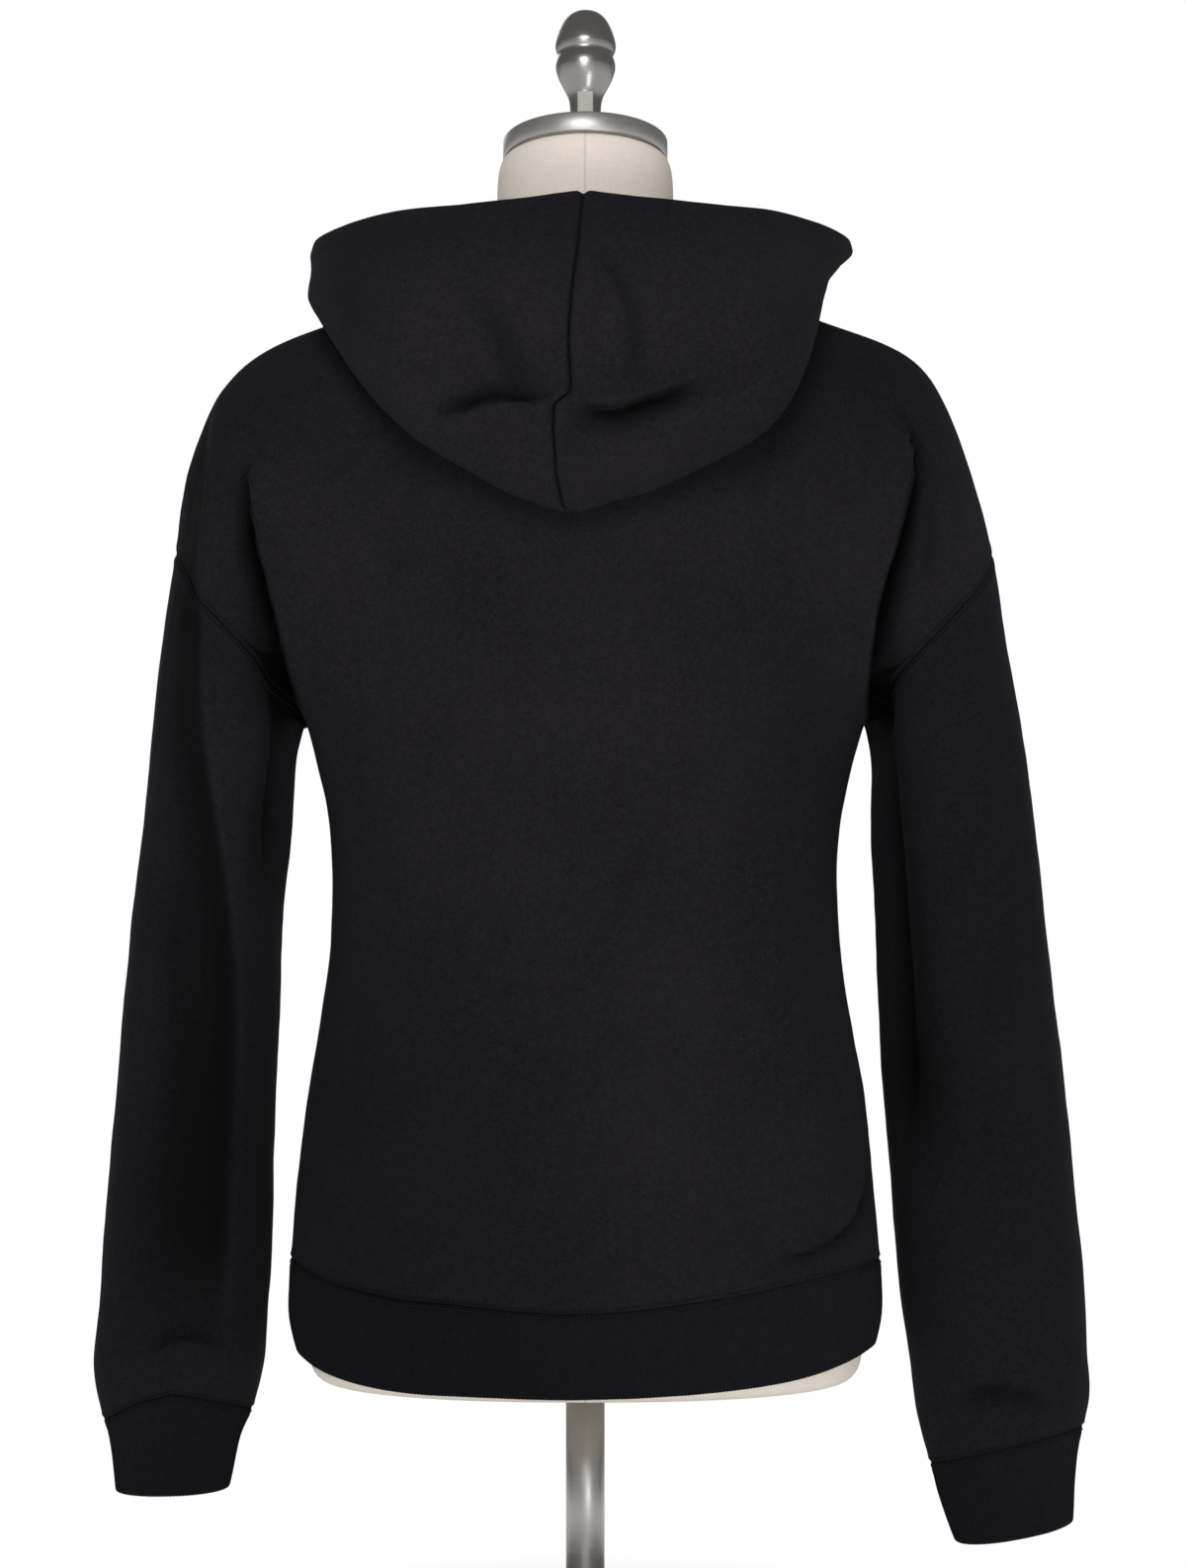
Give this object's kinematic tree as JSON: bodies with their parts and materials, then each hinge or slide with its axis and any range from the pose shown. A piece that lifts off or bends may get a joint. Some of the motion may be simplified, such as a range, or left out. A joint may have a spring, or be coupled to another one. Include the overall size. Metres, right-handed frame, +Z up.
{
  "type": "hooded pullover sweatshirt on a limbless dress form",
  "caption": "Black fleece pullover with a lowered hood, dropped shoulders and ribbed cuffs and hem, filled out on a limbless dress form with a capped neck and a low round stand.",
  "frame": {"origin": "on the floor, in the middle of the stand's base", "axes": "+Z up; the garment's chest faces -Y and its hood hangs towards +Y; the wearer's left is +X"},
  "size_m": [0.6506, 0.38, 1.0975],
  "materials": {
    "fleece": "matt brushed cotton fleece, near black, with a short soft nap",
    "rib_knit": "matt black rib knit, with fine ribs running up and down",
    "form_cloth": "matt cream linen, close plain weave",
    "brushed_steel": "satin, brushed round its turned pieces"
  },
  "bodies": {
    "root": {"back_panel": "fleece", "front_panel": "fleece", "sleeve_left": "fleece", "sleeve_right": "fleece", "cuff_left": "rib_knit", "cuff_right": "rib_knit", "hem_band": "rib_knit", "hood_left": "fleece", "hood_right": "fleece", "form_body": "form_cloth", "neck_ring": "brushed_steel", "neck_plate": "brushed_steel", "knob": "brushed_steel", "knob_key": "brushed_steel", "stand_base": "brushed_steel", "stand_pole": "brushed_steel"}
  },
  "joints": []
}
